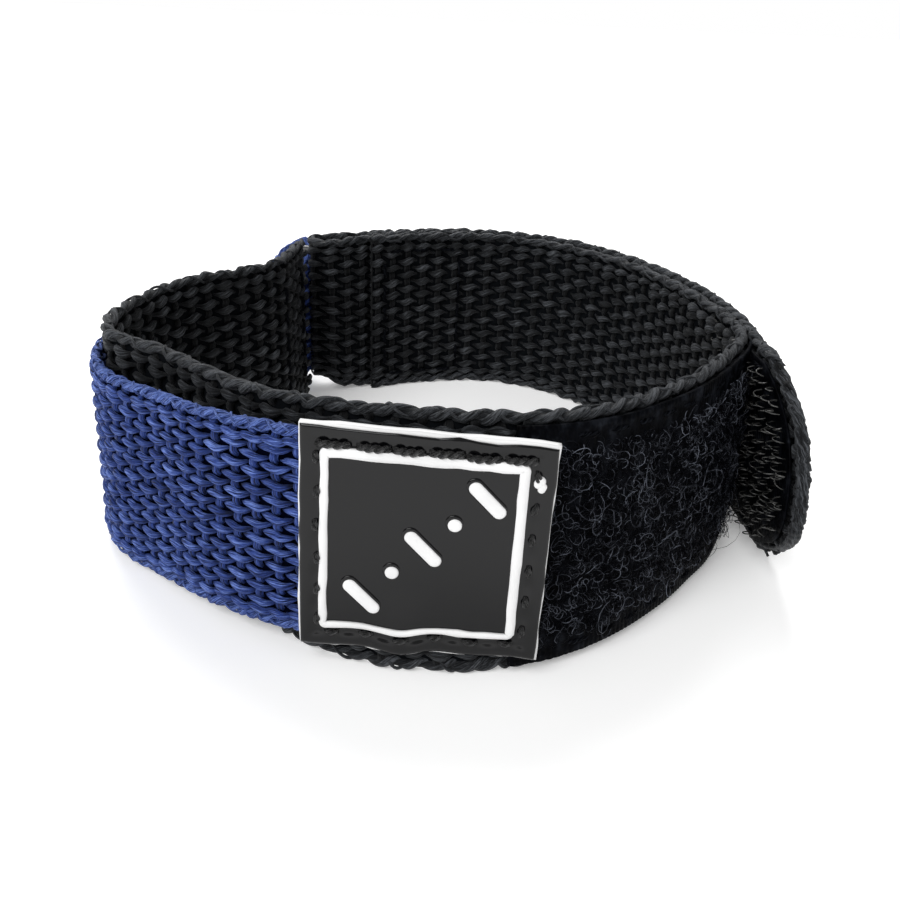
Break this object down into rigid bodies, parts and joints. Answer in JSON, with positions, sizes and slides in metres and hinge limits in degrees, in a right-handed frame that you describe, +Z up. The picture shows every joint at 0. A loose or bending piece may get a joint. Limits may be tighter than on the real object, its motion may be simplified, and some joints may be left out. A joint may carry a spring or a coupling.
{
  "type": "wrist strap",
  "caption": "Hook-and-loop wrist strap of black and blue woven webbing, closed through a return ring, with a sewn square patch on the front.",
  "frame": {"origin": "on the surface the strap stands on, in the middle of its outline seen from above", "axes": "+Z up along the webbing's width; the patch faces -Y; the free tail is on the +X side"},
  "size_m": [0.061, 0.0636, 0.02],
  "materials": {
    "black_webbing": "woven nylon, slight sheen",
    "blue_webbing": "woven nylon, slight sheen",
    "pile_fabric": "brushed loop pile, matt",
    "hook_nylon": "fine monofilament hooks",
    "patch_black": "glossy moulded PVC",
    "patch_white": "satin moulded PVC",
    "sewing_thread": "twisted polyester",
    "ring_wire": "black satin coating"
  },
  "bodies": {
    "root": {"inner_band": "black_webbing", "strap_anchor": "black_webbing", "strap_fold": "black_webbing", "blue_band": "blue_webbing", "return_ring": "ring_wire", "pile_tape": "pile_fabric", "patch_backing": "patch_white", "patch_face": "patch_black", "patch_frame": "patch_white", "patch_marks": "patch_white", "patch_stitches": "sewing_thread", "anchor_stitches": "sewing_thread", "blue_loop_stitches": "sewing_thread", "pile_stitches": "sewing_thread"},
    "strap": {"strap_run": "black_webbing", "tail_bend": "black_webbing", "hook_tape_run": "hook_nylon"},
    "tail": {"strap_tail": "black_webbing", "hook_tape_tail": "hook_nylon", "hook_stitches": "sewing_thread"}
  },
  "joints": [
    {"name": "strap_swing", "type": "hinge", "parent": "root", "child": "strap", "pos_m": [-0.01535, 0.02455, 0.01], "axis": [0, 0, 1], "range_deg": [0, 60], "deforming": ["strap_fold"]},
    {"name": "tail_peel", "type": "hinge", "parent": "strap", "child": "tail", "pos_m": [0.02923, -0.0039, 0.01], "axis": [0, 0, 1], "range_deg": [0, 80], "deforming": ["tail_bend"]}
  ]
}
